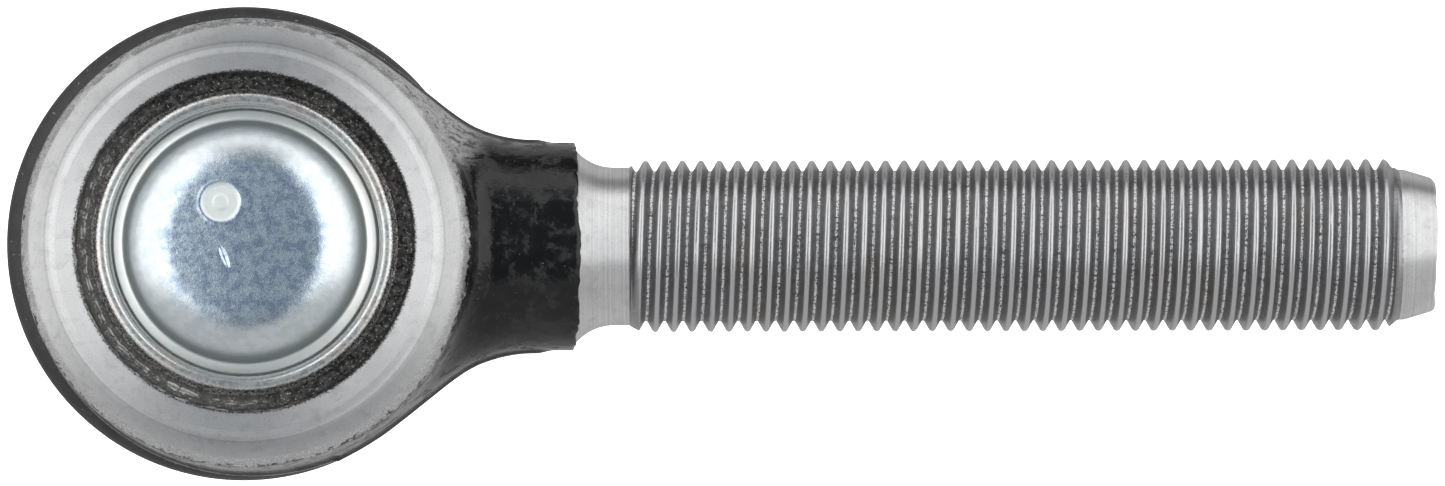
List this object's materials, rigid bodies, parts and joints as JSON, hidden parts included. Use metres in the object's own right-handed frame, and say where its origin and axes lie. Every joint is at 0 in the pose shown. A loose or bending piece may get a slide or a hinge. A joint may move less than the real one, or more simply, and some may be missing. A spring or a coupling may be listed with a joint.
{
  "type": "ball stud rod end",
  "caption": "Sealed ball-stud rod end (tie-rod end): forged head with a rolled-in cap, hanging tapered stud in a rubber boot, and a male left-hand threaded shank.",
  "frame": {"origin": "centre of the ball, where the stud pivots", "axes": "+X along the threaded shank, away from the head; +Z out through the closing cap; the ball stud hangs along -Z"},
  "size_m": [0.1154, 0.0392, 0.0717],
  "materials": {
    "forging": "steel forging in glossy black dip paint; its face, lip, neck fillet and thread are turned or rolled bare after painting",
    "bare_steel": "turned, rolled or ground bare steel with an oil film",
    "zinc_plate": "bright blue-passivated zinc plate",
    "spring_steel": "drawn spring wire",
    "seat_plastic": "moulded natural acetal",
    "collar_plastic": "moulded black nylon",
    "boot_rubber": "moulded black chloroprene rubber with a little dust",
    "seal_rubber": "cut rubber sheet"
  },
  "bodies": {
    "housing": {"housing": "forging", "closing_cap": "zinc_plate", "cap_seal": "seal_rubber", "preload_spring": "spring_steel", "pressure_plate": "bare_steel", "upper_boot_clip": "spring_steel", "dust_boot": "boot_rubber"},
    "ball_seats": {"upper_seat": "seat_plastic", "lower_seat": "seat_plastic"},
    "boot_collar": {"boot_collar": "collar_plastic", "lower_boot_clip": "spring_steel"},
    "ball_stud": {"ball_stud": "bare_steel", "castle_nut": "zinc_plate", "cotter_pin": "zinc_plate"}
  },
  "joints": [
    {"name": "swing_direction", "type": "hinge", "parent": "housing", "child": "ball_seats", "pos_m": [0, 0, 0], "axis": [0, 0, 1], "continuous": true},
    {"name": "stud_tilt", "type": "hinge", "parent": "ball_seats", "child": "boot_collar", "pos_m": [0, 0, 0], "axis": [0, 1, 0], "range_deg": [-20, 20], "deforming": ["dust_boot"]},
    {"name": "stud_spin", "type": "hinge", "parent": "boot_collar", "child": "ball_stud", "pos_m": [0, 0, 0], "axis": [0, 0, 1], "continuous": true}
  ]
}
